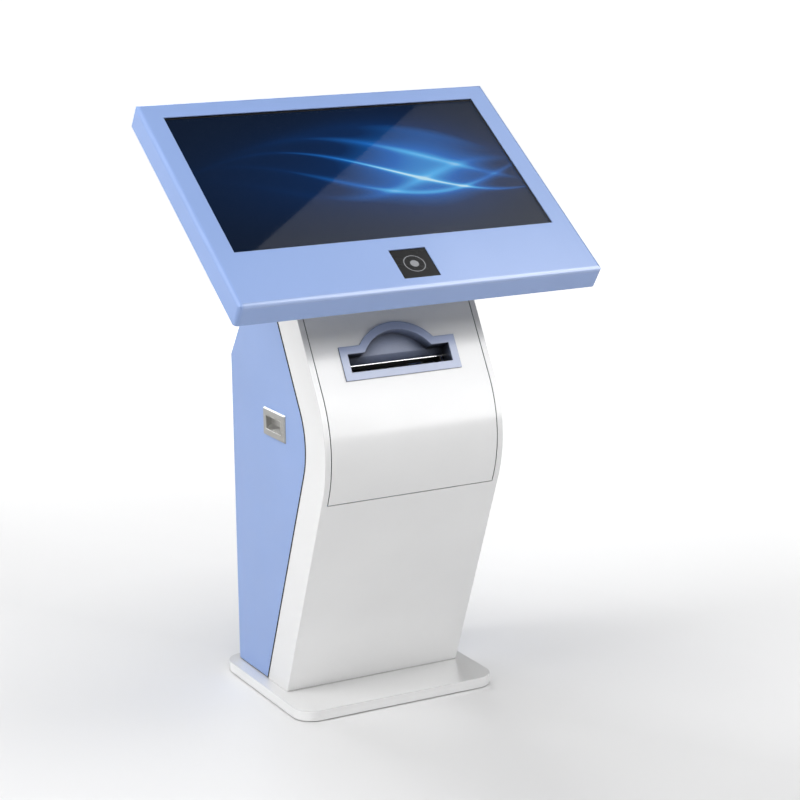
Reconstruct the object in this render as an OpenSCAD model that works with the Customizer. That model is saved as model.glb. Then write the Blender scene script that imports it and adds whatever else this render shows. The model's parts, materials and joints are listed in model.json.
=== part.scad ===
// Self-service payment kiosk: a sloping touch-screen head on an S-fronted sheet-metal cabinet.
// Lengths are in millimetres and angles in degrees. +X is the user's right, -Y the front, +Z up.
// The origin lies on the floor under the middle of the base.

/* [Base] */
// Width of the base
base_w = 450; // [430:1:520]
// Depth of the base
base_d = 390; // [370:1:460]
// Height of the base above the floor
base_h = 23; // [18:1:40]
// Plan radius of the base's corners
base_corner_r = 43; // [20:1:80]
// Sheet thickness of the base cover
cover_t = 3; // [2:0.5:5]
// Gap between the cover's skirt and the floor
cover_lift = 1.5; // [0.5:0.5:4]
// Diameter of the floor anchor holes
anchor_d = 12.5; // [9:0.5:16]
// Distance between the anchor holes across the base
anchor_span_x = 210; // [180:5:230]
// Distance between the anchor holes from front to back
anchor_span_y = 130; // [100:5:160]

/* [Cabinet] */
// Outside width of the cabinet
body_w = 395; // [380:1:420]
// Distance from the base's middle forward to the foot of the front
foot_front = 68; // [50:1:90]
// Depth of the cabinet at its foot
foot_d = 234; // [220:1:250]
// Forward lean of the lower front, from upright
lower_lean = 22; // [18:0.5:24]
// Backward lean of the upper front, from upright
upper_lean = 30; // [28:0.5:32]
// Height at which the lower and upper front planes would meet
corner_z = 574; // [550:1:600]
// Radius of the bulge between the two front planes
bulge_r = 232; // [180:1:260]
// Depth of the front shell's side returns
strip_w = 85; // [70:1:100]
// Height at which the back starts to lean forward
bend_z = 687; // [660:1:710]
// Sheet thickness of the cabinet and head panels
sheet_t = 2; // [1.5:0.1:2.5]
// Gap along panel and door seams
seam_gap = 2; // [1.5:0.1:3]
// Gap between the front shell's returns and the side panels
side_gap = 3.5; // [2:0.5:5]
// Depth of the folded edges on the side panels
panel_return = 14; // [12:0.5:18]

/* [Head] */
// Width of the face beside the screen
side_margin = 44.5; // [30:0.5:60]
// Width of the face above the screen
top_margin = 44; // [30:0.5:60]
// Height of the face below the screen
apron_h = 141; // [130:1:160]
// Thickness of the head
head_t = 50; // [46:1:60]
// Tilt of the head's face, from level
head_tilt = 34.5; // [32:0.5:37]
// How far the middle of the face lies in front of the base's middle
head_fwd = 85; // [75:1:95]
// Height of the middle of the face
head_z = 1047; // [1035:1:1060]
// Edge radius round the face
head_edge_r = 8; // [4:0.5:10]
// Depth of the neck housing behind the head
neck_depth = 90; // [80:1:100]

/* [Screen] */
// Width of the visible screen
screen_w = 698; // [640:1:710]
// Height of the visible screen
screen_h = 393; // [360:1:400]
// Thickness of the touch glass
glass_t = 4; // [3:0.5:6]
// How far the glass laps behind the face sheet
glass_lap = 10; // [6:1:14]
// Thickness of the display panel
lcd_t = 16; // [12:1:18]

/* [Card reader] */
// Width of the square card window
card_w = 80; // [60:1:90]
// How far the card window's middle lies above the lower edge of the face
card_low = 67.5; // [62:0.5:75]
// Depth of the card reader behind its window
card_reader_d = 16; // [10:1:24]

/* [Front door] */
// Width of the front shell beside the door
door_margin = 14; // [12.5:0.5:22]
// How far the door's lower edge lies below where the front planes meet
door_drop = 115; // [108:1:122]
// Width of the front shell above the door
header_w = 25.8; // [22:0.2:30]
// Depth of the door's folded edges
door_return = 18; // [14:1:22]
// How far the hinge axis lies behind the front surface
hinge_back = 9; // [8:0.5:10]
// Radius of the hinge pins of the front door
front_pin_r = 3; // [2:0.5:3.5]
// Distance of the hinge arms from the middle
arm_x = 135; // [120:1:140]

/* [Paper outlet] */
// Width of the outlet bezel
mouth_w = 256; // [245:1:270]
// Distance of the bezel's lower edge from where the front planes meet
mouth_low = 138; // [134:1:150]
// Height of the bezel's straight part
mouth_h = 70; // [66:1:80]
// Width of the bezel's rim
mouth_rim = 16; // [12:1:20]
// Outer radius of the bezel's arch
arch_r = 104; // [98:1:110]
// How far the bezel stands proud of the door
mouth_proud = 3; // [2:0.5:5]
// Depth of the outlet recess
mouth_deep = 34; // [30:1:40]
// Height of the paper slot
slot_h = 22; // [16:0.5:24]

/* [Side pull] */
// Length of the pull plate from front to back
pull_l = 98; // [90:1:112]
// Height of the pull plate
pull_h = 57; // [50:1:70]
// How far the pull plate stands proud of the door
pull_proud = 4; // [3:0.5:8]
// Length of the finger cup
cup_l = 68; // [60:1:74]
// Height of the finger cup
cup_h = 28; // [22:1:34]
// Depth of the finger cup behind the door's face
cup_deep = 9; // [8:0.5:16]
// How far the pull's middle lies in front of the base's middle
pull_fwd = 41; // [32:1:50]
// Height of the pull's middle
pull_z = 579; // [560:1:610]

/* [Frame] */
// Width of the square frame posts
post_w = 30; // [25:1:34]
// Wall of the frame posts
post_t = 2; // [1.5:0.5:4]
// Distance of the posts' middles in from the cabinet's sides
post_in = 32.5; // [31.5:0.5:36]
// How far the posts' middles lie in front of the base's middle
post_fwd = 30; // [26:1:36]
// Thickness of the neck plate
neck_plate_t = 4; // [3:0.5:6]
// How far the printer shelf's top lies below where the front planes meet
shelf_drop = 16; // [10:1:26]
// Height of the controller shelf's top
tray_z = 300; // [280:1:340]

/* [Printer] */
// Width of the paper
paper_w = 210; // [200:1:212]
// Radius of the platen roller
platen_r = 9; // [7:0.5:10]
// Distance of the print line behind the front surface
nip_deep = 108; // [104:1:114]
// Radius of a full paper roll
roll_r = 58; // [45:1:66]
// Radius of the roll spindle
spindle_r = 12; // [9:0.5:14]
// Gear module of the paper feed
gear_m = 1; // [0.8:0.05:1.1]
// Teeth of the platen gear
platen_teeth = 24; // [22:1:26]
// Teeth of the idler gear
idler_teeth = 26; // [24:1:28]
// Teeth of the motor pinion
pinion_teeth = 18; // [17:1:20]
// Width of the square feed motor
motor_w = 42; // [36:1:44]
// Length of the feed motor
motor_l = 34; // [24:1:40]

/* [Services] */
// Width of the square fan
fan_w = 92; // [80:1:120]
// Thickness of the fan
fan_t = 25; // [20:1:32]
// Number of fan blades
fan_blades = 7; // [5:1:9]
// Height of the fan's middle
fan_z = 210; // [170:1:225]
// Height of the power inlet's middle
inlet_z = 78; // [70:1:90]

/* [Hidden] */
$fn = 64;
clear = 0.3;
run_gap = 0.05;
grow = 20;
far = 1500;
BLUE = "#9fb3e4";
WHITE = "#f3f4f6";
STEEL = "#b9bec4";
NICKEL = "#c8c9c4";
DARK = "#2b2d31";
ZINC = "#9aa0a6";

// Front profile in the plane of Y and Z
foot_y = -foot_front;
back_y = foot_y + foot_d;
lower_out = [-cos(lower_lean), -sin(lower_lean)];
lower_up = [-sin(lower_lean), cos(lower_lean)];
upper_out = [-cos(upper_lean), sin(upper_lean)];
upper_up = [sin(upper_lean), cos(upper_lean)];
corner = [foot_y - tan(lower_lean) * (corner_z - base_h), corner_z];
corner_spread = (lower_out + upper_out) / (1 + lower_out * upper_out);
bulge_c = corner - bulge_r * corner_spread;
function low_tangent(d) = bulge_c + (bulge_r - d) * lower_out;
function up_tangent(d) = bulge_c + (bulge_r - d) * upper_out;
function corner_at(d) = bulge_c + (bulge_r - d) * corner_spread;
function cross_of(a, b) = a[0] * b[1] - a[1] * b[0];
function meet(p, u, q, v) = p + u * cross_of(q - p, v) / cross_of(u, v);

// Head round the screen, in the same plane
head_w = screen_w + 2 * side_margin;
head_l = top_margin + screen_h + apron_h;
screen_up = (apron_h - top_margin) / 2;
card_down = head_l / 2 - card_low;
face_c = [-head_fwd, head_z];
head_up = [cos(head_tilt), sin(head_tilt)];
head_out = [-sin(head_tilt), cos(head_tilt)];
neck_n = -head_t - neck_depth;
neck_p = face_c + neck_n * head_out;
bend = [back_y, bend_z];
neck_v0 = (meet(corner, upper_up, neck_p, head_up) - face_c) * head_up;
neck_v1 = (meet(bend, head_out, neck_p, head_up) - face_c) * head_up;
neck_mid = (neck_v0 + neck_v1) / 2;
lip_w = 12;
gasket_t = 1.5;
glass_n = -sheet_t - glass_t;
lcd_n = glass_n - gasket_t;
rail_n = lcd_n - lcd_t;

// Seams of the front door
door_w = body_w - 2 * door_margin;
door_low = meet(corner, lower_up, [0, corner_z - door_drop], [1, 0]);
door_high = meet(corner, upper_up, neck_p, head_up) - header_w * upper_up;
zone_reach = 100;
sill_return = door_return - 6;
hinge_slack = 18;
hinge_drop = (hinge_back * hinge_back + seam_gap * seam_gap) / (2 * seam_gap) + hinge_slack;
hinge_c = door_low - hinge_drop * lower_up - hinge_back * lower_out;
function hinge_pt(w, s) = hinge_c - w * lower_out + s * lower_up;
eye_r = hinge_back - sheet_t - 1;
arm_t = 4;
arm_w = 2 * eye_r - 2;
cheek_t = 3;
cheek_gap = 0.5;
header_d = door_return + 16;
catch_x = door_w / 4;
catch_l = 40;
jamb_d = door_return + 6;

// Side panels and their stop rails
panel_in = body_w / 2 - panel_return;
rail_x = panel_in - clear;
rail_w = 16;
foot_gap = 2;
neck_gap = 1;
rear_half = rail_x - sheet_t - clear;

// Side door hinge, behind the back
knuckle_r = 3.5;
side_pin_r = 1.8;
leaf_t = 1.5;
leaf_w = 13;
knuckle_l = 20;
knuckle_gap = 0.4;
side_axis_x = -(panel_in - seam_gap / 2);
side_axis_y = back_y + knuckle_r + 0.4;
side_hinge_z = [base_h + 60, (base_h + bend_z) / 2, bend_z - 60];

// Paper outlet in the frame of the upper front plane: X across, Y up the slope, Z outwards
arch_s = mouth_low + 6;
mouth_top = mouth_low + mouth_h - mouth_rim;
slot_s0 = mouth_low + mouth_rim;
slot_top = slot_s0 + slot_h;
paper_rise = 6;
slot_s = slot_s0 + paper_rise;
mouth_wall = 2.5;
arch_depth = 21;
chute_depth = 25;
throat_l = 24;
throat_h = slot_h + 2 * mouth_wall;
tear_t = 1.2;
tear_h = 4.5;

// Printer, its roll and the shelf that carries them
post_x = body_w / 2 - post_in;
shelf_z = corner_z - shelf_drop;
function upper_pt(s, n) = corner + s * upper_up + n * upper_out;
platen_c = upper_pt(slot_s - platen_r, -nip_deep);
plate_t = 2;
plate_x = paper_w / 2 + 5;
shaft_r = 4;
bush_r = 7;
gear_w = 6;
gear_x = plate_x + plate_t + 4;
gear_slack = 0.1;
gear_backlash = 0.25;
idler_c = platen_c - [0, gear_m * (platen_teeth + idler_teeth) / 2 + gear_slack];
pinion_c = idler_c - [0, gear_m * (idler_teeth + pinion_teeth) / 2 + gear_slack];
mesh_angle = -90;
idler_phase = mesh_angle + 180 - 180 / idler_teeth;
idler_share = (mesh_angle - idler_phase) * idler_teeth / 360;
pinion_phase = mesh_angle + 180 - (0.5 - idler_share) * 360 / pinion_teeth;
motor_shaft_r = 2.5;
idler_pin_r = 3;
cutter_n = mouth_deep + throat_l + 6;
cutter_d = 24;
chassis_front = platen_c[0] - 42;
chassis_back = platen_c[0] + 46;
roll_y = chassis_back + roll_r + 24;
roll_z = shelf_z + roll_r + 20;
journal_r = 6;
core_r = spindle_r + clear;
shelf_t = 2;
shelf_flange = 20;
shelf_front = chassis_front - 4;
shelf_back = roll_y + 50;
shelf_half = post_x - post_w / 2;
tray_front = foot_y - 60;
tray_back = back_y - 60;

// Services on the back and in the foot
fan_x = -65;
fan_y = back_y - sheet_t;
fan_hub_r = 18;
fan_bore_r = fan_w / 2 - 3;
fan_pin_r = 2;
spider_t = 3;
inlet_x = 85;
inlet_w = 58;
inlet_h = 28;
inlet_flange = 3;
inlet_body_d = 32;
rocker_w = 18;
rocker_h = 13;
rocker_pin_r = 1.5;
rocker_pin_z = 3;
rocker_dx = 15;
rocker_play = 1.2;
rocker_throw = 9;
socket_dx = -13;
socket_pin_z = 4;

// Extrude a drawing of Y and Z along X
module across(x0, x1) {
    translate([x0, 0, 0]) rotate([90, 0, 90]) linear_extrude(x1 - x0) children();
}

module both_sides() {
    children();
    mirror([1, 0, 0]) children();
}

module on_head() {
    translate([0, face_c[0], face_c[1]]) rotate([head_tilt, 0, 0]) children();
}

module on_upper() {
    translate([0, corner[0], corner[1]]) rotate([90 - upper_lean, 0, 0]) children();
}

module rounded_rect(w, h, r) {
    square([w - 2 * r, h], center = true);
    square([w, h - 2 * r], center = true);
    for (x = [-1, 1], y = [-1, 1]) translate([x * (w / 2 - r), y * (h / 2 - r)]) circle(r);
}

// A straight bar with round ends
module bar(p, q, w) {
    run = q - p;
    translate(p) rotate(atan2(run[1], run[0])) translate([0, -w / 2]) square([norm(run), w]);
    for (end = [p, q]) translate(end) circle(w / 2);
}

// Everything behind the front surface, drawn in from it
module behind_front(depth) {
    low = low_tangent(depth);
    high = up_tangent(depth);
    tip = corner_at(depth);
    low_end = low - far * lower_up;
    high_end = high + far * upper_up;
    difference() {
        polygon([low_end, tip, high_end, [far, high_end[1]], [far, low_end[1]]]);
        difference() {
            polygon([low, tip + lower_out + upper_out, high, bulge_c]);
            translate(bulge_c) circle(bulge_r - depth, $fn = 180);
        }
    }
}

// Cabinet's side view, drawn in from its front, back, top and foot
module silhouette(front = 0, back = 0, top = 0, foot = 0) {
    slope_p = bend - back * head_up;
    top_p = neck_p - top * head_out;
    rear_p = [back_y - back, 0];
    foot_z = base_h + foot;
    ahead = [-foot_d - head_l / 2, 0];
    intersection() {
        behind_front(front);
        polygon([
            [ahead[0], foot_z], meet(top_p, head_up, ahead, [0, 1]), meet(slope_p, head_out, top_p, head_up),
            meet(slope_p, head_out, rear_p, [0, 1]), [rear_p[0], foot_z]
        ]);
    }
}

// Band along the front between two depths
module front_band(near, deep, top = 0, back = 0) {
    difference() {
        silhouette(front = near, back = back, top = top);
        behind_front(deep);
    }
}

// Band along the back between two depths
module back_band(near, deep) {
    difference() {
        silhouette(back = near, top = clear);
        silhouette(back = deep, front = -grow, top = -grow, foot = -grow);
    }
}

// Stretch of the front between the door's seams, drawn in from both
module door_zone(inset) {
    low = door_low + inset * lower_up;
    high = door_high - inset * upper_up;
    polygon([
        low - zone_reach * lower_out, low + zone_reach * lower_out, corner_at(-zone_reach),
        high + zone_reach * upper_out, high - zone_reach * upper_out
    ]);
}

module anchor_holes() {
    for (x = [-1, 1], y = [-1, 1])
        translate([x * anchor_span_x / 2, back_y - foot_d / 2 + y * anchor_span_y / 2, -1])
            cylinder(h = base_h + 2, d = anchor_d);
}

module ballast_plate() {
    inset = cover_t + clear;
    color(STEEL) difference() {
        linear_extrude(base_h - cover_t)
            rounded_rect(base_w - 2 * inset, base_d - 2 * inset, base_corner_r - inset);
        anchor_holes();
    }
}

module base_cover() {
    color(WHITE) difference() {
        translate([0, 0, cover_lift]) linear_extrude(base_h - cover_lift)
            rounded_rect(base_w, base_d, base_corner_r);
        translate([0, 0, -1]) linear_extrude(base_h - cover_t + 1)
            rounded_rect(base_w - 2 * cover_t, base_d - 2 * cover_t, base_corner_r - cover_t);
        anchor_holes();
    }
}

// Side view of a post, cut by the underside of the neck plate
module post_view() {
    intersection() {
        silhouette(top = neck_plate_t);
        translate([-post_fwd - post_w / 2, 0]) square([post_w, head_z]);
    }
}

module frame_posts() {
    foot_plate_t = 5;
    foot_plate_w = post_w + 34;
    color(ZINC) both_sides() {
        difference() {
            across(post_x - post_w / 2, post_x + post_w / 2) post_view();
            across(post_x - post_w / 2 + post_t, post_x + post_w / 2 - post_t)
                translate([-post_fwd - post_w / 2 + post_t, base_h + foot_plate_t])
                    square([post_w - 2 * post_t, head_z]);
        }
        difference() {
            translate([post_x - post_w / 2 - 20, -post_fwd - foot_plate_w / 2 + 14, base_h])
                cube([post_w + 20, foot_plate_w, foot_plate_t]);
            translate([post_x, -post_fwd, base_h - 1]) cylinder(h = foot_plate_t + 2, r = 6);
        }
    }
}

// Bolts through the neck
bolt_r = 4;
bolt_x = post_x - post_w - 25;
bolt_v = (neck_v1 - neck_v0) / 2 - 30;
module at_neck_bolts() {
    for (x = [-1, 1], v = [-1, 1]) translate([x * bolt_x, neck_mid + v * bolt_v, neck_n]) children();
}

grommet_r = 24;
module neck_plate() {
    half = rear_half - sheet_t - 2;
    front = neck_v0 + neck_plate_t + 2 * sheet_t;
    back = neck_v1 - sheet_t - 1;
    color(ZINC) on_head() difference() {
        translate([-half, front, neck_n - neck_plate_t]) cube([2 * half, back - front, neck_plate_t]);
        translate([0, neck_mid, neck_n - neck_plate_t - 1]) cylinder(h = neck_plate_t + 2, r = grommet_r);
        at_neck_bolts() translate([0, 0, -neck_plate_t - 1])
            cylinder(h = neck_plate_t + 2, r = bolt_r + run_gap);
    }
}

module neck_bolts() {
    head_h = 5;
    nut_h = 6.5;
    color(STEEL) on_head() at_neck_bolts() {
        union() {
            translate([0, 0, sheet_t]) cylinder(h = head_h, r = 7.5, $fn = 6);
            translate([0, 0, -neck_plate_t - nut_h - 4])
                cylinder(h = sheet_t + neck_plate_t + nut_h + 5, r = bolt_r);
        }
        translate([0, 0, -neck_plate_t - nut_h]) difference() {
            cylinder(h = nut_h, r = 7.5, $fn = 6);
            translate([0, 0, -1]) cylinder(h = nut_h + 2, r = bolt_r + run_gap);
        }
    }
}

module cable_grommet() {
    lip = 3;
    color(DARK) on_head() translate([0, neck_mid, neck_n - neck_plate_t - lip]) rotate_extrude() {
        translate([grommet_r - 5, 0]) square([5 - clear, neck_plate_t + sheet_t + 2 * lip]);
        translate([grommet_r - 5, 0]) square([5 + lip, lip]);
        translate([grommet_r - 5, neck_plate_t + sheet_t + lip]) square([5 + lip, lip]);
    }
}

module front_shell() {
    side = body_w / 2;
    jamb = door_w / 2 + seam_gap;
    half_t = sheet_t / 2;
    color(WHITE) difference() {
        union() {
            difference() {
                across(-side, side) front_band(0, strip_w, clear);
                across(sheet_t - side, side - sheet_t) front_band(sheet_t, strip_w - sheet_t, -grow, -grow);
                across(sheet_t - rail_x, rail_x - sheet_t)
                    front_band(strip_w - 2 * sheet_t, strip_w + grow, -grow, -grow);
            }
            both_sides() {
                across(rail_x - sheet_t, rail_x) front_band(strip_w - half_t, strip_w + rail_w, clear);
                across(jamb, jamb + sheet_t) intersection() {
                    front_band(half_t, jamb_d, clear);
                    door_zone(-seam_gap - sheet_t);
                }
            }
            across(-jamb - half_t, jamb + half_t) intersection() {
                front_band(half_t, header_d, clear);
                header_zone(seam_gap, seam_gap + sheet_t);
            }
            both_sides() across(panel_in, side - half_t) intersection() {
                front_band(half_t, strip_w - half_t, clear);
                back_band(0, sheet_t);
            }
        }
        across(-jamb, jamb) intersection() {
            front_band(-grow, jamb_d);
            door_zone(-seam_gap);
        }
    }
}

// Strip across the front above the door's upper seam
module header_zone(near, end) {
    low = door_high + near * upper_up;
    high = door_high + end * upper_up;
    polygon([
        low + grow * upper_out, high + grow * upper_out,
        high - zone_reach * upper_out, low - zone_reach * upper_out
    ]);
}

// Outline of a side panel, drawn in from its edges
module panel_outline(inset) {
    silhouette(front = strip_w + side_gap + inset, back = inset, top = neck_gap + inset,
        foot = foot_gap + inset);
}

module side_tray() {
    difference() {
        across(panel_in, body_w / 2) panel_outline(0);
        across(panel_in - 1, body_w / 2 - sheet_t) panel_outline(sheet_t);
    }
}

module right_side_panel() {
    color(BLUE) side_tray();
}

// Blocks on the posts that carry the side panels, one above the other
catch_z = [tray_z + 90, shelf_z + 170];
module panel_spacers() {
    color(ZINC) for (z = catch_z)
        translate([post_x + post_w / 2, -post_fwd - 10, z])
            cube([body_w / 2 - sheet_t - post_x - post_w / 2, 20, 40]);
}

strike_t = 1.5;
module side_catches() {
    reach = body_w / 2 - sheet_t - strike_t - clear - post_x - post_w / 2;
    color(DARK) for (z = catch_z)
        translate([-post_x - post_w / 2 - reach, -post_fwd - 10, z]) cube([reach, 20, 40]);
}

module side_strikes() {
    color(STEEL) for (z = catch_z)
        translate([-body_w / 2 + sheet_t, -post_fwd - 13, z - 4]) cube([strike_t, 26, 48]);
}

// The finger pull's frame: X forwards, Y up, Z out of the side door
module on_pull() {
    translate([-body_w / 2, -pull_fwd, pull_z]) rotate([90, 0, -90]) children();
}

cup_wall = 2;
module side_door() {
    color(BLUE) difference() {
        mirror([1, 0, 0]) side_tray();
        on_pull() translate([0, 0, -sheet_t - 1]) linear_extrude(sheet_t + 2)
            square([cup_l + 2 * cup_wall + 2 * clear, cup_h + 2 * cup_wall + 2 * clear], center = true);
    }
}

// Trapezium from a foot width to a top width
module trapezium(foot, top, h) {
    polygon([[-foot / 2, 0], [foot / 2, 0], [top / 2, h], [-top / 2, h]]);
}

module side_pull() {
    bevel = pull_proud / 2;
    color(NICKEL) on_pull() difference() {
        union() {
            intersection() {
                rotate([90, 0, 0]) linear_extrude(2 * pull_h, center = true)
                    trapezium(pull_l, pull_l - 2 * bevel, pull_proud);
                rotate([90, 0, 90]) linear_extrude(2 * pull_l, center = true)
                    trapezium(pull_h, pull_h - 2 * bevel, pull_proud);
            }
            translate([0, 0, -cup_deep]) linear_extrude(cup_deep + 1)
                square([cup_l + 2 * cup_wall, cup_h + 2 * cup_wall], center = true);
        }
        intersection() {
            translate([0, 0, cup_wall - cup_deep]) linear_extrude(cup_deep + pull_proud)
                square([cup_l, cup_h], center = true);
            rotate([90, 0, 90]) linear_extrude(cup_l + 2, center = true) finger_scoop();
        }
    }
}

// Side view of the finger cup: deep under its upper edge, rising to the lower one
module finger_scoop() {
    floor_n = cup_wall - cup_deep;
    lip = 2;
    polygon([
        [-cup_h / 2, pull_proud + 1], [-cup_h / 2, pull_proud - lip], [-cup_h / 6, floor_n],
        [cup_h / 2, floor_n], [cup_h / 2, pull_proud + 1]
    ]);
}

module hinge_leaf(side, knuckles) {
    leaf_l = 3 * knuckle_l;
    tongue = knuckle_r + 0.8;
    leaf_y = back_y - side_axis_y;
    for (z = side_hinge_z) translate([side_axis_x, side_axis_y, z - leaf_l / 2]) difference() {
        union() {
            translate([side > 0 ? tongue : -leaf_w, leaf_y, 0])
                cube([leaf_w - tongue, leaf_t, leaf_l]);
            for (k = knuckles) translate([0, 0, k * knuckle_l + knuckle_gap / 2]) {
                cylinder(h = knuckle_l - knuckle_gap, r = knuckle_r);
                translate([side > 0 ? 0 : -tongue - 1, leaf_y, 0])
                    cube([tongue + 1, leaf_t, knuckle_l - knuckle_gap]);
            }
        }
        translate([0, 0, -1]) cylinder(h = leaf_l + 2, r = side_pin_r + run_gap);
    }
}

module side_hinge_fixed_leaves() {
    color(STEEL) hinge_leaf(1, [0, 2]);
}

module side_hinge_door_leaves() {
    color(STEEL) hinge_leaf(-1, [1]);
}

module side_hinge_pins() {
    pin_l = 3 * knuckle_l;
    cap_h = 1.5;
    color(STEEL) for (z = side_hinge_z) translate([side_axis_x, side_axis_y, z - pin_l / 2]) {
        cylinder(h = pin_l, r = side_pin_r);
        translate([0, 0, pin_l]) cylinder(h = cap_h, r = knuckle_r);
    }
}

// Vents and openings of the rear panel, drawn in X and Z
module slot_row(count, pitch, l, w) {
    for (i = [0:count - 1]) translate([0, (i - (count - 1) / 2) * pitch]) {
        square([l - w, w], center = true);
        for (x = [-1, 1]) translate([x * (l - w) / 2, 0]) circle(w / 2);
    }
}

vent_z = bend_z - 90;
module rear_openings() {
    for (x = [-1, 1]) translate([x * 90, vent_z]) slot_row(8, 12, 110, 5);
    translate([fan_x, fan_z]) intersection() {
        circle(fan_bore_r - 2);
        slot_row(9, 10, fan_w + 20, 5);
    }
    translate([inlet_x, inlet_z]) square([inlet_w - 12, inlet_h - 6], center = true);
}

module rear_panel() {
    color(BLUE) difference() {
        union() {
            across(-rear_half, rear_half) back_band(0, sheet_t);
            both_sides() across(rear_half - sheet_t, rear_half) back_band(0, panel_return);
        }
        translate([0, back_y + 1, 0]) rotate([90, 0, 0]) linear_extrude(sheet_t + 2) rear_openings();
    }
}

// Front door and what moves with it
module front_door() {
    half = door_w / 2;
    color(WHITE) difference() {
        union() {
            across(-half, half) intersection() {
                front_band(0, sheet_t);
                door_zone(0);
            }
            both_sides() across(half - sheet_t, half) intersection() {
                front_band(0, door_return);
                door_zone(0);
            }
            across(-half, half) intersection() {
                front_band(0, door_return);
                header_zone(-sheet_t, 0);
            }
            across(-half, half) intersection() {
                front_band(0, sill_return);
                sill_zone(0, sheet_t);
            }
        }
        on_upper() translate([0, 0, -sheet_t - 1]) linear_extrude(sheet_t + 2)
            mouth_outline(mouth_rim - mouth_wall - clear);
    }
}

// Strip across the front above the door's lower seam
module sill_zone(near, end) {
    low = door_low + near * lower_up;
    high = door_low + end * lower_up;
    polygon([
        low + grow * lower_out, high + grow * lower_out,
        high - zone_reach * lower_out, low - zone_reach * lower_out
    ]);
}

// Outline of the paper outlet, drawn in from the bezel's outer edge
module mouth_outline(inset) {
    half = mouth_w / 2 - inset;
    translate([-half, mouth_low + inset]) square([2 * half, mouth_h - 2 * inset]);
    intersection() {
        translate([0, arch_s]) circle(arch_r - inset, $fn = 120);
        translate([-half, mouth_low + inset]) square([2 * half, 2 * arch_r]);
    }
}

// Side view of the outlet recess: the arch's floor falls to the chute, and the chute to the slot
module recess_view(thick) {
    arch_top = arch_s + arch_r - mouth_rim;
    polygon([
        [slot_s0 - mouth_wall - 1, mouth_proud + 1], [slot_s0 - mouth_wall - 1, -mouth_deep],
        [slot_top + thick, -mouth_deep], [mouth_top, -chute_depth - thick],
        [arch_top + 2 * mouth_wall, -arch_depth - thick], [arch_top + 2 * mouth_wall, mouth_proud + 1]
    ]);
}

module printer_bezel() {
    color("#8f9fc2") on_upper() difference() {
        union() {
            linear_extrude(mouth_proud) mouth_outline(0);
            intersection() {
                translate([0, 0, -mouth_deep]) linear_extrude(mouth_deep + 1)
                    mouth_outline(mouth_rim - mouth_wall);
                across(-mouth_w, mouth_w) recess_view(mouth_wall);
            }
        }
        intersection() {
            translate([0, 0, -mouth_deep - 1]) linear_extrude(mouth_deep + mouth_proud + 2)
                mouth_outline(mouth_rim);
            across(-mouth_w, mouth_w) recess_view(0);
        }
        translate([-mouth_w / 2 + mouth_rim, slot_s0, -mouth_deep - 1])
            cube([mouth_w - 2 * mouth_rim, slot_h, mouth_deep + 2]);
    }
}

// Strip along the chute's lower edge
module tear_bar() {
    half = mouth_w / 2 - mouth_rim;
    foot = [slot_top, -mouth_deep];
    chute = [mouth_top, -chute_depth] - foot;
    along = chute / norm(chute);
    out = [-along[1], along[0]];
    color(STEEL) on_upper() across(-half, half) polygon([
        foot, foot + tear_h * along, foot + tear_h * along + tear_t * out, foot + tear_t * out
    ]);
}

module paper_throat() {
    half = paper_w / 2 + 2;
    color(DARK) on_upper() translate([0, slot_s0 + slot_h / 2, -mouth_deep - throat_l])
        linear_extrude(throat_l) difference() {
            square([2 * half, throat_h], center = true);
            square([2 * half - 2 * mouth_wall, throat_h - 2 * mouth_wall], center = true);
        }
}

// Side view of a gooseneck hinge arm, from its eye round the lower panel's edge to the door
module arm_view() {
    reach = hinge_drop + 8;
    knee = [reach + 6, 0.9 * hinge_drop];
    foot = [-grow, hinge_drop + 62];
    difference() {
        intersection() {
            union() {
                translate(hinge_c) circle(eye_r);
                bar(hinge_c, hinge_pt(reach, 0), arm_w);
                bar(hinge_pt(reach, 0), hinge_pt(knee[0], knee[1]), arm_w);
                bar(hinge_pt(knee[0], knee[1]), hinge_pt(foot[0], foot[1]), arm_w);
            }
            silhouette(front = sheet_t);
        }
        translate(hinge_c) circle(front_pin_r + run_gap);
    }
}

module front_hinge_arms() {
    foot_w = 28;
    foot_t = 3;
    color(STEEL) both_sides() {
        across(arm_x - arm_t / 2, arm_x + arm_t / 2) arm_view();
        across(arm_x - foot_w / 2, arm_x + foot_w / 2) intersection() {
            front_band(sheet_t, sheet_t + foot_t);
            sill_zone(sheet_t + 14, sheet_t + 74);
        }
    }
}

// Fixed cheeks on the back of the lower front panel
module cheek_view() {
    skin = sheet_t - hinge_back;
    difference() {
        union() {
            translate(hinge_c) circle(eye_r);
            polygon([
                hinge_pt(skin, -46), hinge_pt(skin, -2), hinge_pt(eye_r, 0), hinge_pt(eye_r, -12),
                hinge_pt(skin + 5, -46)
            ]);
        }
        translate(hinge_c) circle(front_pin_r + run_gap);
    }
}

module front_hinge_brackets() {
    inner = arm_t / 2 + cheek_gap;
    skin = sheet_t - hinge_back;
    color(ZINC) both_sides() {
        for (side = [-1, 1]) {
            x = arm_x + side * (inner + cheek_t / 2);
            across(x - cheek_t / 2, x + cheek_t / 2) cheek_view();
        }
        across(arm_x - inner - cheek_t, arm_x + inner + cheek_t) polygon([
            hinge_pt(skin, -46), hinge_pt(skin, -eye_r - 4), hinge_pt(skin + 3, -eye_r - 4),
            hinge_pt(skin + 3, -46)
        ]);
    }
}

module front_hinge_pins() {
    half = arm_t / 2 + cheek_gap + cheek_t;
    head_h = 1.5;
    color(STEEL) both_sides() {
        across(arm_x - half, arm_x + half) translate(hinge_c) circle(front_pin_r);
        across(arm_x + half, arm_x + half + head_h) translate(hinge_c) circle(eye_r - 1);
    }
}

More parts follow.
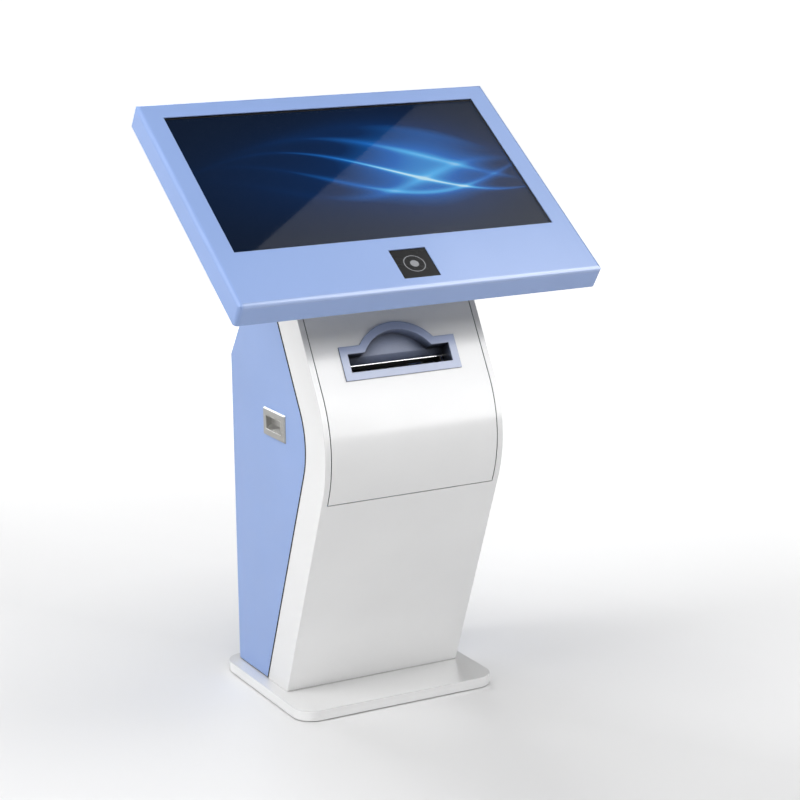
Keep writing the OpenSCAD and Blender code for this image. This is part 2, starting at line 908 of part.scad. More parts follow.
// Magnetic catches hang under the header flange, behind strikes on the door's upper return
module at_front_catches() {
    both_sides() across(catch_x - catch_l / 2, catch_x + catch_l / 2) children();
}

module front_catches() {
    color(DARK) at_front_catches() intersection() {
        front_band(door_return + clear, door_return + 14);
        header_zone(seam_gap - 16, seam_gap);
    }
}

module front_strikes() {
    color(STEEL) at_front_catches() intersection() {
        front_band(door_return - strike_t, door_return);
        header_zone(-sheet_t - 12, -sheet_t);
    }
}

// Head: X across, Y up the slope, Z outwards from the face
module edge_view(w, inset, low) {
    r = head_edge_r - inset;
    translate([-w / 2, low]) square([w, -low - inset - r]);
    translate([-w / 2 + r, low]) square([w - 2 * r, -low - inset]);
    for (x = [-1, 1]) translate([x * (w / 2 - r), -inset - r]) circle(r);
}

module head_block(inset, low) {
    w = head_w - 2 * inset;
    l = head_l - 2 * inset;
    intersection() {
        translate([0, 0, low]) linear_extrude(-low) rounded_rect(w, l, head_edge_r - inset);
        across(-head_w, head_w) edge_view(l, inset, low);
        rotate([90, 0, 0]) linear_extrude(2 * head_l, center = true) edge_view(w, inset, low);
    }
}

module head_bezel() {
    inner_w = head_w - 2 * sheet_t;
    inner_l = head_l - 2 * sheet_t;
    color(BLUE) on_head() {
        difference() {
            head_block(0, -head_t);
            head_block(sheet_t, -head_t - 1);
            translate([0, screen_up, -sheet_t - 1]) linear_extrude(sheet_t + 2)
                square([screen_w, screen_h], center = true);
            translate([0, -card_down, -sheet_t - 1]) linear_extrude(sheet_t + 2)
                square(card_w, center = true);
        }
        translate([0, 0, -head_t + sheet_t]) linear_extrude(sheet_t) difference() {
            rounded_rect(inner_w, inner_l, head_edge_r - sheet_t);
            square([inner_w - 2 * lip_w, inner_l - 2 * lip_w], center = true);
        }
    }
}

module touch_glass() {
    color("#10182c") on_head() translate([0, screen_up, glass_n]) linear_extrude(glass_t)
        square([screen_w + 2 * glass_lap, screen_h + 2 * glass_lap], center = true);
}

module glass_gasket() {
    color(DARK) on_head() translate([0, screen_up, lcd_n]) linear_extrude(gasket_t) difference() {
        square([screen_w + 2 * glass_lap - 2, screen_h + 2 * glass_lap - 2], center = true);
        square([screen_w + 1, screen_h + 1], center = true);
    }
}

module lcd_panel() {
    color(STEEL) on_head() translate([0, screen_up, rail_n]) linear_extrude(lcd_t)
        square([screen_w + 2 * glass_lap - 2, screen_h + 2 * glass_lap - 2], center = true);
}

module lcd_rails() {
    rail_d = head_t + rail_n - 2 * sheet_t - 2;
    rail_half = 13;
    wall = 1.5;
    color(ZINC) on_head() both_sides() translate([screen_w * 0.3, head_l / 2 - sheet_t, rail_n])
        rotate([90, 0, 0]) linear_extrude(head_l - 2 * sheet_t) difference() {
            translate([-rail_half, -rail_d]) square([2 * rail_half, rail_d]);
            translate([-rail_half + wall, -rail_d - 1]) square([2 * rail_half - 2 * wall, rail_d + 1 - wall]);
        }
}

module display_board() {
    board_w = 170;
    board_h = 110;
    post_h = 6;
    color("#2f6b4a") on_head() translate([0, screen_up + 30, rail_n]) {
        translate([0, 0, -post_h - 1.6]) linear_extrude(1.6) square([board_w, board_h], center = true);
        for (x = [-1, 1], y = [-1, 1])
            translate([x * (board_w / 2 - 6), y * (board_h / 2 - 6), -post_h - 0.1])
                cylinder(h = post_h + 0.1, r = 3);
        for (x = [-50, 0, 50]) translate([x - 15, -board_h / 2 + 4, -post_h - 8]) cube([30, 14, 7]);
    }
}

module card_window() {
    color(DARK) on_head() translate([0, -card_down, -sheet_t - 3]) linear_extrude(3)
        square(card_w + 2 * glass_lap - 8, center = true);
}

module card_reader() {
    color("#3a3d42") on_head() translate([0, -card_down, -sheet_t - 3 - card_reader_d]) {
        linear_extrude(card_reader_d) rounded_rect(card_w + 14, card_w + 14, 6);
        translate([0, 0, -4]) linear_extrude(5) square([30, 12], center = true);
    }
}

module head_rear_cover() {
    w = head_w - 2 * sheet_t - 1;
    l = head_l - 2 * sheet_t - 1;
    port = [bolt_x * 2 + 40, neck_v1 - neck_v0 - 24];
    color(BLUE) on_head() translate([0, 0, -head_t]) linear_extrude(sheet_t) difference() {
        rounded_rect(w, l, head_edge_r - sheet_t);
        translate([0, neck_mid]) square(port, center = true);
        for (x = [-1, 1]) translate([x * head_w / 4, head_l / 2 - 90]) slot_row(7, 14, 150, 5);
    }
}

// Section of the neck housing: square to the head in front, sloping up its back
module neck_section(wall) {
    rear_run = 0.8 * neck_depth;
    mouth = wall > 0 ? 1 : 0;
    polygon([
        [neck_v0 + wall, -head_t + mouth], [neck_v1 + rear_run - wall * 1.3, -head_t + mouth],
        [neck_v1 - wall * 0.5, neck_n + wall], [neck_v0 + wall, neck_n + wall]
    ]);
}

module neck_housing() {
    half = body_w / 2;
    color(BLUE) on_head() difference() {
        across(-half, half) neck_section(0);
        across(-half + sheet_t, half - sheet_t) neck_section(sheet_t);
        translate([0, neck_mid, neck_n - 1]) cylinder(h = sheet_t + 2, r = grommet_r);
        at_neck_bolts() translate([0, 0, -1]) cylinder(h = sheet_t + 2, r = bolt_r + run_gap);
        both_sides() translate([half - sheet_t - 1, neck_mid, -head_t - neck_depth / 2]) rotate([90, 0, 90])
            linear_extrude(sheet_t + 2) rotate(90) slot_row(5, 12, neck_depth / 2, 5);
    }
}

// Shelves between the posts
module shelf(top, front, back) {
    color(ZINC) translate([-shelf_half, 0, 0]) {
        translate([0, front, top - shelf_t]) cube([2 * shelf_half, back - front, shelf_t]);
        for (y = [front, back - shelf_t])
            translate([0, y, top - shelf_flange]) cube([2 * shelf_half, shelf_t, shelf_flange]);
    }
}

module printer_shelf() {
    shelf(shelf_z, shelf_front, shelf_back);
}

module controller_shelf() {
    shelf(tray_z, tray_front, tray_back);
}

// Printer
module chassis_view() {
    top = platen_c[1] + 44;
    polygon([
        [chassis_front, shelf_z], [chassis_back, shelf_z], [chassis_back, platen_c[1] + 16],
        [platen_c[0] + 12, top], [platen_c[0] - 20, top], [chassis_front, platen_c[1] + 12]
    ]);
}

module printer_chassis() {
    pin_l = gear_x + gear_w - plate_x - plate_t;
    color(ZINC) {
        difference() {
            union() {
                both_sides() across(plate_x, plate_x + plate_t) chassis_view();
                translate([-plate_x - 1, chassis_front, shelf_z])
                    cube([2 * plate_x + 2, chassis_back - chassis_front, plate_t]);
            }
            across(-plate_x - plate_t - 1, plate_x + plate_t + 1) translate(platen_c)
                circle(bush_r + run_gap);
            across(plate_x - 1, plate_x + plate_t + 1) translate(pinion_c) circle(motor_w / 4 + clear);
        }
        across(plate_x + plate_t, plate_x + plate_t + pin_l) translate(idler_c) circle(idler_pin_r);
    }
}

module platen_bushes() {
    color("#c9a45c") both_sides() translate([plate_x - 1.5, platen_c[0], platen_c[1]]) rotate([0, 90, 0])
        difference() {
            union() {
                cylinder(h = plate_t + 2.5, r = bush_r);
                cylinder(h = 1.5, r = bush_r + 2);
            }
            translate([0, 0, -1]) cylinder(h = plate_t + 5, r = shaft_r + run_gap);
        }
}

module platen_roller() {
    color("#34363a") across(-paper_w / 2, paper_w / 2) translate(platen_c) difference() {
        circle(platen_r);
        circle(shaft_r);
    }
}

module platen_shaft() {
    color(STEEL) across(-plate_x - plate_t - 4, gear_x + gear_w + 2) translate(platen_c) circle(shaft_r);
}

// Involute gear outline, with a tooth's middle at angle 0
function roll_angle(a) = tan(a) * 180 / PI - a;
function flank_angle(teeth, r) = 90 / teeth - gear_backlash / (gear_m * teeth) * 90 / PI
    + roll_angle(20) - roll_angle(acos(gear_m * teeth / 2 * cos(20) / r));
function polar(r, a) = r * [cos(a), sin(a)];
module gear_view(teeth) {
    pitch_r = gear_m * teeth / 2;
    foot_r = pitch_r - 1.25 * gear_m;
    start_r = max(foot_r, pitch_r * cos(20)) + 0.01;
    tip_r = pitch_r + gear_m * 0.95;
    steps = 4;
    radii = [for (i = [0:steps]) start_r + (tip_r - start_r) * i / steps];
    polygon([for (t = [0:teeth - 1]) let (mid = t * 360 / teeth) each concat(
        [polar(foot_r, mid - flank_angle(teeth, start_r))],
        [for (r = radii) polar(r, mid - flank_angle(teeth, r))],
        [for (i = [steps:-1:0]) polar(radii[i], mid + flank_angle(teeth, radii[i]))],
        [polar(foot_r, mid + flank_angle(teeth, start_r))]
    )]);
}

module gear(teeth, centre, phase, bore) {
    across(gear_x, gear_x + gear_w) translate(centre) difference() {
        rotate(phase) gear_view(teeth);
        circle(bore);
    }
}

module platen_gear() {
    color("#e8e4d8") gear(platen_teeth, platen_c, mesh_angle, shaft_r);
}

module idler_gear() {
    color("#e8e4d8") gear(idler_teeth, idler_c, idler_phase, idler_pin_r + run_gap);
}

module motor_pinion() {
    color("#c9a45c") {
        gear(pinion_teeth, pinion_c, pinion_phase, motor_shaft_r - 0.5);
        across(plate_x - motor_l / 2, gear_x + gear_w + 1) translate(pinion_c) circle(motor_shaft_r);
    }
}

module feed_motor() {
    color(DARK) difference() {
        union() {
            across(plate_x - motor_l, plate_x) translate(pinion_c) intersection() {
                square(motor_w, center = true);
                rotate(45) square(motor_w * 1.28, center = true);
            }
            across(plate_x - 1, plate_x + plate_t) translate(pinion_c) circle(motor_w / 4);
        }
        across(plate_x - motor_l / 2 - 1, plate_x + plate_t + 1) translate(pinion_c)
            circle(motor_shaft_r + run_gap);
    }
}

module print_head() {
    fin_h = 7;
    body_h = 8;
    fins = 9;
    color("#d4d6d8") on_upper() translate([-plate_x, slot_s + clear, -nip_deep - 13]) {
        cube([2 * plate_x, body_h, 26]);
        for (i = [0:fins - 1]) translate([10, body_h, i * 3]) cube([2 * plate_x - 20, fin_h, 1.5]);
    }
}

module paper_cutter() {
    half_h = 15;
    gate = 3;
    color("#4b4f55") on_upper() translate([-plate_x, slot_s, -cutter_n - cutter_d]) difference() {
        translate([0, -half_h, 0]) cube([2 * plate_x, 2 * half_h, cutter_d]);
        translate([6, -gate, -1]) cube([2 * plate_x - 12, 2 * gate, cutter_d + 2]);
    }
}

// Paper roll on its spindle
module roll_holders() {
    foot = 46;
    holder_foot = 16;
    color(ZINC) both_sides() {
        across(plate_x, plate_x + plate_t) difference() {
            polygon([
                [roll_y - foot, shelf_z], [roll_y + foot, shelf_z], [roll_y + 16, roll_z + 12],
                [roll_y - 16, roll_z + 12]
            ]);
            translate([roll_y, roll_z]) circle(journal_r + run_gap);
            translate([roll_y - journal_r - clear, roll_z]) square([2 * journal_r + 2 * clear, 20]);
        }
        translate([plate_x, roll_y - foot, shelf_z]) cube([holder_foot, 2 * foot, plate_t]);
    }
}

module roll_spindle() {
    collar = 2;
    color("#3c66a8") translate([0, roll_y, roll_z]) rotate([0, 90, 0]) {
        cylinder(h = paper_w + 2 * collar, r = spindle_r, center = true);
        cylinder(h = 2 * (plate_x + plate_t + 4), r = journal_r, center = true);
    }
}

module paper_roll() {
    color("#f7f6f0") translate([0, roll_y, roll_z]) rotate([0, 90, 0]) difference() {
        cylinder(h = paper_w, r = roll_r, center = true);
        cylinder(h = paper_w + 2, r = core_r, center = true);
    }
}

// Electronics
module controller() {
    box = [200, 170, 40];
    fin_h = 10;
    fins = 14;
    pitch = box[0] / fins;
    color("#3d4147") translate([-box[0] / 2, (tray_front + tray_back - box[1]) / 2, tray_z]) {
        cube(box);
        for (i = [0:fins - 1]) translate([(i + 0.25) * pitch, 6, box[2]])
            cube([pitch / 2, box[1] - 12, fin_h]);
        for (x = [30, 80, 130]) translate([x, box[1], 8]) cube([28, 4, 14]);
    }
}

module power_supply() {
    box = [110, 150, 42];
    color("#c4c8cc") translate([-box[0] / 2, back_y - foot_d / 2 - box[1] / 2, base_h]) difference() {
        cube(box);
        for (i = [0:8]) translate([12, 24 + i * 12, box[2] - 1.2]) cube([box[0] - 24, 5, 2]);
        translate([10, -1, 8]) cube([box[0] - 20, 13, box[2]]);
    }
}

// Fan on the back: X and Z across it, Y through it
module on_fan() {
    translate([fan_x, fan_y, fan_z]) rotate([90, 0, 0]) children();
}

module fan_frame() {
    color(DARK) on_fan() {
        difference() {
            linear_extrude(fan_t) rounded_rect(fan_w, fan_w, 6);
            translate([0, 0, -1]) cylinder(h = fan_t + 2, r = fan_bore_r);
        }
        cylinder(h = spider_t, r = fan_hub_r);
        for (a = [0:90:270]) rotate(a + 45) translate([fan_hub_r - 2, -2, 0])
            cube([fan_bore_r - fan_hub_r + 3, 4, spider_t]);
        cylinder(h = fan_t - 4, r = fan_pin_r);
    }
}

module fan_rotor() {
    blade_pitch = 32;
    hub_h = fan_t - 2 * spider_t - 1;
    color("#45494f") on_fan() translate([0, 0, spider_t + 1]) difference() {
        union() {
            cylinder(h = hub_h, r = fan_hub_r);
            intersection() {
                cylinder(h = hub_h, r = fan_bore_r - 1);
                for (i = [0:fan_blades - 1]) rotate(i * 360 / fan_blades) translate([0, 0, hub_h / 2])
                    rotate([blade_pitch, 0, 0]) translate([fan_hub_r - 3, -fan_w / 4, -0.8])
                        cube([fan_bore_r, fan_w / 2, 1.6]);
            }
        }
        translate([0, 0, -1]) cylinder(h = fan_t, r = fan_pin_r + run_gap);
    }
}

// Power inlet on the back: X across, Y up, Z into the cabinet
module on_inlet() {
    translate([inlet_x, back_y, inlet_z]) rotate([90, 0, 0]) children();
}

module power_inlet() {
    color(DARK) on_inlet() {
        difference() {
            union() {
                translate([0, 0, -inlet_flange]) linear_extrude(inlet_flange)
                    rounded_rect(inlet_w, inlet_h, 3);
                translate([0, 0, -0.5]) linear_extrude(inlet_body_d)
                    square([inlet_w - 12 - 2 * clear, inlet_h - 6 - 2 * clear], center = true);
            }
            translate([socket_dx, 0, -inlet_flange - 1]) linear_extrude(18) polygon([
                [-12, -8], [12, -8], [12, 3], [7, 8], [-7, 8], [-12, 3]
            ]);
            translate([rocker_dx, 0, -inlet_flange - 1]) linear_extrude(16)
                square([rocker_w - 8 + 2 * clear, rocker_h + 2 * rocker_play], center = true);
        }
        for (p = [[-7, -2], [0, 2], [7, -2]])
            translate([socket_dx + p[0] - 1, p[1] - 2, socket_pin_z]) cube([2, 4, 11]);
        translate([rocker_dx, 0, rocker_pin_z]) rotate([0, 90, 0])
            cylinder(h = rocker_w - 7, r = rocker_pin_r, center = true);
    }
}

module power_rocker() {
    half_w = (rocker_w - 8) / 2;
    color("#1c1d20") on_inlet() translate([rocker_dx, 0, rocker_pin_z]) rotate([90, 0, 90])
        translate([0, 0, -half_w]) linear_extrude(2 * half_w) difference() {
            rotate(180 + rocker_throw) polygon([
                [-rocker_h / 2 + 0.8, 0], [-rocker_h / 2 + 0.5, 7.4], [0, 5.4], [rocker_h / 2 - 0.5, 7.4],
                [rocker_h / 2 - 0.8, 0], [3, -4], [-3, -4]
            ]);
            circle(rocker_pin_r + run_gap);
        }
}

ballast_plate();
base_cover();
frame_posts();
neck_plate();
front_shell();
right_side_panel();
rear_panel();
panel_spacers();
side_catches();
front_catches();
front_hinge_brackets();
front_hinge_pins();
side_hinge_fixed_leaves();
side_hinge_pins();
front_door();
printer_bezel();
tear_bar();
paper_throat();
front_hinge_arms();
front_strikes();
side_door();
side_pull();
side_hinge_door_leaves();
side_strikes();
head_bezel();
touch_glass();
glass_gasket();
lcd_panel();
lcd_rails();
display_board();
card_window();
card_reader();
head_rear_cover();
neck_housing();
neck_bolts();
cable_grommet();
printer_shelf();
printer_chassis();
platen_bushes();
platen_roller();
platen_shaft();
platen_gear();
idler_gear();
motor_pinion();
feed_motor();
print_head();
paper_cutter();
roll_holders();
roll_spindle();
paper_roll();
controller_shelf();
controller();
power_supply();
fan_frame();
fan_rotor();
power_inlet();
power_rocker();
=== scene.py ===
"""Looks of the payment kiosk: finishes, fittings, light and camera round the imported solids."""

import json
import math

import bmesh
import bpy
from mathutils import Matrix, Vector


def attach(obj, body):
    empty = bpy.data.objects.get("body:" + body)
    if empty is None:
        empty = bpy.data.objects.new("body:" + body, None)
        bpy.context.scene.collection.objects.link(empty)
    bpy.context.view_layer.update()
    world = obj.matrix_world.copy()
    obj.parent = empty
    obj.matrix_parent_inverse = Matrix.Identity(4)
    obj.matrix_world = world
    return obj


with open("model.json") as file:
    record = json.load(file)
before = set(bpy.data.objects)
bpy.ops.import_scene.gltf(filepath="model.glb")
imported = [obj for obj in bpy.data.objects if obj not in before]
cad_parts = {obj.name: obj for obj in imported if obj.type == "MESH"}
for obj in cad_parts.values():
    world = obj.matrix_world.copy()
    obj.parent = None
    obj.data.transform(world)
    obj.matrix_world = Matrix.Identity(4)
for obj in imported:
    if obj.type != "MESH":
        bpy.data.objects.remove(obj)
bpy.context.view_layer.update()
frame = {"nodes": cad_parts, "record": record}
nodes = frame["nodes"]
scene = bpy.context.scene
for packed in list(bpy.data.materials):
    bpy.data.materials.remove(packed)

# Axes, sloping planes and sizes of the solids, in metres
ACROSS = Vector((1.0, 0.0, 0.0))
BACK = Vector((0.0, 1.0, 0.0))
UPWARD = Vector((0.0, 0.0, 1.0))
HEAD_TILT = math.radians(34.5)
FACE = Vector((0.0, -0.085, 1.047))
HEAD_UP = Vector((0.0, math.cos(HEAD_TILT), math.sin(HEAD_TILT)))
HEAD_OUT = Vector((0.0, -math.sin(HEAD_TILT), math.cos(HEAD_TILT)))
HEAD_PLANE = (FACE, HEAD_UP, HEAD_OUT)
UPPER_LEAN = math.radians(30.0)
UPPER_UP = Vector((0.0, math.sin(UPPER_LEAN), math.cos(UPPER_LEAN)))
UPPER_OUT = Vector((0.0, -math.cos(UPPER_LEAN), math.sin(UPPER_LEAN)))
CORNER = Vector((0.0, -0.2906, 0.574))
UPPER_PLANE = (CORNER, UPPER_UP, UPPER_OUT)
SCREEN_W, SCREEN_H, SCREEN_UP = 0.698, 0.393, 0.0485
CARD_DOWN = 0.2215
HEAD_W = 0.787
BODY_W = 0.395
BASE_TOP = 0.0213
PULL_Y, PULL_Z, PULL_H, PULL_PROUD, PULL_BEVEL = -0.041, 0.579, 0.057, 0.004, 0.0021
CUP_L, CUP_H = 0.068, 0.028
ROLL_Y, ROLL_Z = 0.006412, 0.636


def on_plane(plane, x, along, out):
    """A point by its distances across, along and out of a sloping plane."""
    origin, along_axis, out_axis = plane
    return origin + x * ACROSS + along * along_axis + out * out_axis


# Where most of a noise texture's values lie, and the least light that a hollow keeps
NOISE_LOW, NOISE_HIGH = 0.3, 0.7
HOLLOW_LIGHT = 0.03


class Graph:
    """The node tree of a new material or world, with short calls for its nodes."""

    def __init__(self, name, owners="materials", output="ShaderNodeOutputMaterial"):
        self.owner = getattr(bpy.data, owners).new(name)
        self.owner.use_nodes = True
        self.tree = self.owner.node_tree
        self.tree.nodes.clear()
        self.out = self.add(output)

    def add(self, kind, **props):
        node = self.tree.nodes.new(kind)
        for key, value in props.items():
            setattr(node, key, value)
        return node

    def put(self, socket, value):
        """Link another node's output to a socket, or set a plain value on it."""
        if isinstance(value, bpy.types.NodeSocket):
            self.tree.links.new(value, socket)
        else:
            socket.default_value = value

    def math(self, operation, *values):
        node = self.add("ShaderNodeMath", operation=operation)
        for socket, value in zip(node.inputs, values):
            self.put(socket, value)
        return node.outputs[0]

    def square(self, value):
        return self.math("MULTIPLY", value, value)

    def radius(self, one, other):
        return self.math("SQRT", self.math("ADD", self.square(one), self.square(other)))

    def clamp(self, value):
        return self.math("MINIMUM", self.math("MAXIMUM", value, 0.0), 1.0)

    def rescale(self, value, from_low, from_high, to_low=0.0, to_high=1.0):
        """A value moved from one range to another, and held inside it."""
        node = self.add("ShaderNodeMapRange")
        self.put(node.inputs["Value"], value)
        self.put(node.inputs["From Min"], from_low)
        self.put(node.inputs["From Max"], from_high)
        self.put(node.inputs["To Min"], to_low)
        self.put(node.inputs["To Max"], to_high)
        return node.outputs[0]

    def coords(self, space="Object"):
        return self.add("ShaderNodeTexCoord").outputs[space]

    def dot(self, vector, direction):
        node = self.add("ShaderNodeVectorMath", operation="DOT_PRODUCT")
        self.put(node.inputs[0], vector)
        self.put(node.inputs[1], direction)
        return node.outputs["Value"]

    def noise(self, scale, detail=2.0, stretch=None):
        node = self.add("ShaderNodeTexNoise")
        vector = self.coords()
        if stretch:
            mapping = self.add("ShaderNodeMapping")
            self.put(mapping.inputs["Vector"], vector)
            self.put(mapping.inputs["Scale"], stretch)
            vector = mapping.outputs[0]
        self.put(node.inputs["Vector"], vector)
        self.put(node.inputs["Scale"], scale)
        self.put(node.inputs["Detail"], detail)
        return node.outputs["Fac"]

    def spread(self, fac, low, high):
        """A noise spread over a range."""
        return self.rescale(fac, NOISE_LOW, NOISE_HIGH, low, high)

    def ramp(self, fac, *stops):
        node = self.add("ShaderNodeValToRGB")
        elements = node.color_ramp.elements
        while len(elements) < len(stops):
            elements.new(0.5)
        for element, (position, colour) in zip(elements, stops):
            element.position = position
            element.color = (*colour, 1.0)
        self.put(node.inputs[0], fac)
        return node.outputs[0]

    def bump(self, height, distance, strength=1.0, edge=0.0):
        """Surface grain; edge is the radius along which folded and moulded edges catch the light."""
        node = self.add("ShaderNodeBump")
        if edge:
            rounded = self.add("ShaderNodeBevel", samples=4)
            self.put(rounded.inputs["Radius"], edge)
            self.put(node.inputs["Normal"], rounded.outputs[0])
        self.put(node.inputs["Height"], height)
        self.put(node.inputs["Distance"], distance)
        self.put(node.inputs["Strength"], strength)
        return node.outputs[0]

    def openness(self, reach, dark, lit):
        """Near 0 deep inside seams and hollows, 1 where light gets in from all round."""
        hidden = self.add("ShaderNodeAmbientOcclusion", samples=6)
        self.put(hidden.inputs["Distance"], reach)
        return self.rescale(hidden.outputs["AO"], dark, lit, HOLLOW_LIGHT)

    def mix(self, fac, low, high):
        node = self.add("ShaderNodeMix", data_type="RGBA")
        self.put(node.inputs["Factor"], fac)
        self.put(node.inputs[6], low)
        self.put(node.inputs[7], high)
        return node.outputs[2]

    def darken(self, colour, fac):
        return self.mix(fac, (0.0, 0.0, 0.0, 1.0), colour)

    def rays(self):
        """For the surroundings: 1 where they are seen directly, and 1 where in gloss or through glass."""
        path = self.add("ShaderNodeLightPath").outputs
        return path["Is Camera Ray"], self.math("MAXIMUM", path["Is Glossy Ray"], path["Is Transmission Ray"])

    def surface(self, **values):
        shader = self.add("ShaderNodeBsdfPrincipled")
        for key, value in values.items():
            self.put(shader.inputs[key.replace("_", " ")], value)
        self.put(self.out.inputs["Surface"], shader.outputs[0])
        return self.owner


def shade(colour, gain):
    return tuple(min(1.0, c * gain) for c in colour)


def srgb(*levels):
    """A linear colour from 0-255 display levels."""
    return tuple(((c / 255 + 0.055) / 1.055) ** 2.4 if c > 10 else c / 255 / 12.92 for c in levels)


BLUE = srgb(147, 174, 227)
WHITE = (0.925, 0.925, 0.925)
# Painted shade: the darker grey of the base's top
BASE_TOP_SHADE = (0.76, 0.76, 0.76)
NICKEL = (0.45, 0.445, 0.425)
# White for painted highlights on the pull
GLINT_WHITE = (0.94, 0.94, 0.93)
BLACK = (0.02, 0.02, 0.022)

# Painted shade in seams between sheets and in moulded hollows: how far it reaches and how dark it gets, and
# how fast a hollow's clear coat fades as painted shade in its gloss
SEAM_REACH, SEAM_DARK, SEAM_LIT = 0.008, 0.1, 0.42
RECESS_DARK, RECESS_LIT, RECESS_POWER = 0.42, 0.95, 5.0
# Height over which the painted shade on the base's top fades in
TOP_SHADE_FADE = 0.0015


def paint(name, colour, rough, coat, edge=0.0012, index=1.5, coat_rough=0.1, upper=None):
    """Powder coat: faint orange peel, faint unevenness of colour and gloss, a clear coat of the given index,
    and painted shade that darkens the colour in seams and corners.

    coat is the clear coat's weight, or a function that gives it for a node tree. upper is a height and the
    colour above it, a painted shade on the top of a part.
    """
    clouds, patches, peel, peel_depth = 6.0, 14.0, 700.0, 0.00002
    g = Graph(name)
    tone = g.ramp(g.noise(clouds), (NOISE_LOW, shade(colour, 0.985)), (NOISE_HIGH, shade(colour, 1.015)))
    # Painted shade: above the given height the colour turns to the darker top colour
    if upper:
        height, upper_colour = upper
        rise = g.math("SUBTRACT", g.dot(g.coords(), UPWARD), height)
        tone = g.mix(g.clamp(g.math("MULTIPLY", rise, 1 / TOP_SHADE_FADE)), tone, (*upper_colour, 1.0))
    g.surface(
        # Painted shade: the colour darkens in seams and corners, where little light gets in
        Base_Color=g.darken(tone, g.openness(SEAM_REACH, SEAM_DARK, SEAM_LIT)),
        Roughness=g.spread(g.noise(patches), rough - 0.03, rough + 0.03),
        Coat_Weight=coat(g) if callable(coat) else coat,
        Coat_Roughness=coat_rough,
        Coat_IOR=index,
        Normal=g.bump(g.noise(peel), peel_depth, 0.35, edge),
    )


def plastic(
    name, colour, rough, grain=900.0, edge=0.0006, coat=0.0, recess=0.0, index=1.5, coat_rough=0.12, shine=0.5
):
    """Moulded plastic; recess is the depth over which its hollows darken with painted shade, in colour and in
    the clear coat's gloss.
    """
    clouds, patches, grain_depth = 20.0, 60.0, 0.00004
    g = Graph(name)
    tone = g.ramp(g.noise(clouds), (NOISE_LOW, shade(colour, 0.96)), (NOISE_HIGH, shade(colour, 1.04)))
    # Painted shade in hollows: the colour darkens and the clear coat fades where little light gets in
    if recess:
        lit = g.openness(recess, RECESS_DARK, RECESS_LIT)
        tone = g.darken(tone, lit)
        coat = g.math("MULTIPLY", g.math("POWER", lit, RECESS_POWER), coat)
    g.surface(
        Base_Color=tone,
        Roughness=g.spread(g.noise(patches), rough - 0.04, rough + 0.04),
        Coat_Weight=coat,
        Coat_Roughness=coat_rough,
        Coat_IOR=index,
        Specular_IOR_Level=shine,
        Normal=g.bump(g.noise(grain), grain_depth, 0.5, edge),
    )


def metal(name, colour, rough, stretch=None, scale=500.0, edge=0.0005, bare=1.0, painted_glint=None):
    """Metal, bare or lacquered; stretch draws the brushing out along an axis.

    Its last argument is a direction and a level along it past which the colour turns white, a painted
    highlight.
    """
    grain_detail, grain_depth = 3.0, 0.00002
    g = Graph(name)
    grain = g.noise(scale, grain_detail, stretch)
    tone = g.ramp(grain, (0.25, shade(colour, 0.9)), (0.75, shade(colour, 1.06)))
    # Painted highlight: past the given level along the direction, the colour is white
    if painted_glint:
        direction, begin = painted_glint
        tone = g.mix(g.math("GREATER_THAN", g.dot(g.coords(), direction), begin), tone, (*GLINT_WHITE, 1.0))
    g.surface(
        Base_Color=tone,
        Metallic=bare,
        Roughness=g.spread(grain, rough - 0.05, rough + 0.07),
        Normal=g.bump(grain, grain_depth, 0.4, edge),
    )


def zinc(name, colour):
    """Zinc plate with a cloudy crystal pattern."""
    crystals, patches = 90.0, 120.0
    g = Graph(name)
    cells = g.add("ShaderNodeTexVoronoi")
    g.put(cells.inputs["Vector"], g.coords())
    g.put(cells.inputs["Scale"], crystals)
    tone = g.add("ShaderNodeSeparateColor")
    g.put(tone.inputs[0], cells.outputs["Color"])
    g.surface(
        Base_Color=g.ramp(tone.outputs[0], (0.0, shade(colour, 0.86)), (1.0, shade(colour, 1.1))),
        Metallic=0.9,
        Roughness=g.spread(g.noise(patches), 0.38, 0.52),
    )


# The head's lower front edge, measured from the middle of its face, and its left end
EDGE_DOWN, EDGE_IN, END_W = 0.2805, 0.0085, 0.009
HEAD_COAT, EDGE_COAT = 0.36, 0.64


def head_gloss(g):
    """Weight of the head's clear coat: full on its lower front edge, less elsewhere, none at the left end."""
    coords = g.coords()
    low = g.math("LESS_THAN", g.dot(coords, HEAD_UP), FACE.dot(HEAD_UP) - EDGE_DOWN)
    front = g.math("GREATER_THAN", g.dot(coords, HEAD_OUT), FACE.dot(HEAD_OUT) - EDGE_IN)
    inner = g.math("GREATER_THAN", g.dot(coords, ACROSS), END_W - HEAD_W / 2)
    weight = g.math("ADD", g.math("MULTIPLY", g.math("MULTIPLY", low, front), EDGE_COAT), HEAD_COAT)
    return g.math("MULTIPLY", weight, inner)


def screen_coords(g):
    """How far across and up the visible screen a point is, from 0 to 1."""
    coords = g.coords()
    low = FACE.dot(HEAD_UP) + SCREEN_UP - SCREEN_H / 2
    u = g.math("ADD", g.math("MULTIPLY", g.dot(coords, ACROSS), 1 / SCREEN_W), 0.5)
    v = g.math("MULTIPLY", g.math("SUBTRACT", g.dot(coords, HEAD_UP), low), 1 / SCREEN_H)
    return u, v


def touch_glass(name):
    """Coated glass: clear, with a faint reflection, strongest low on the right."""
    at_corner, per_width, per_height, least = 0.038, 0.041, -0.044, 0.012
    g = Graph(name)
    u, v = screen_coords(g)
    rise = g.math("ADD", g.math("MULTIPLY", u, per_width), g.math("MULTIPLY", v, per_height))
    clear = g.add("ShaderNodeBsdfTransparent")
    shine = g.add("ShaderNodeBsdfGlossy")
    g.put(shine.inputs["Roughness"], g.spread(g.noise(30.0), 0.02, 0.035))
    mix = g.add("ShaderNodeMixShader")
    g.put(mix.inputs[0], g.math("MAXIMUM", g.math("ADD", rise, at_corner), least))
    g.put(mix.inputs[1], clear.outputs[0])
    g.put(mix.inputs[2], shine.outputs[0])
    g.put(g.out.inputs["Surface"], mix.outputs[0])


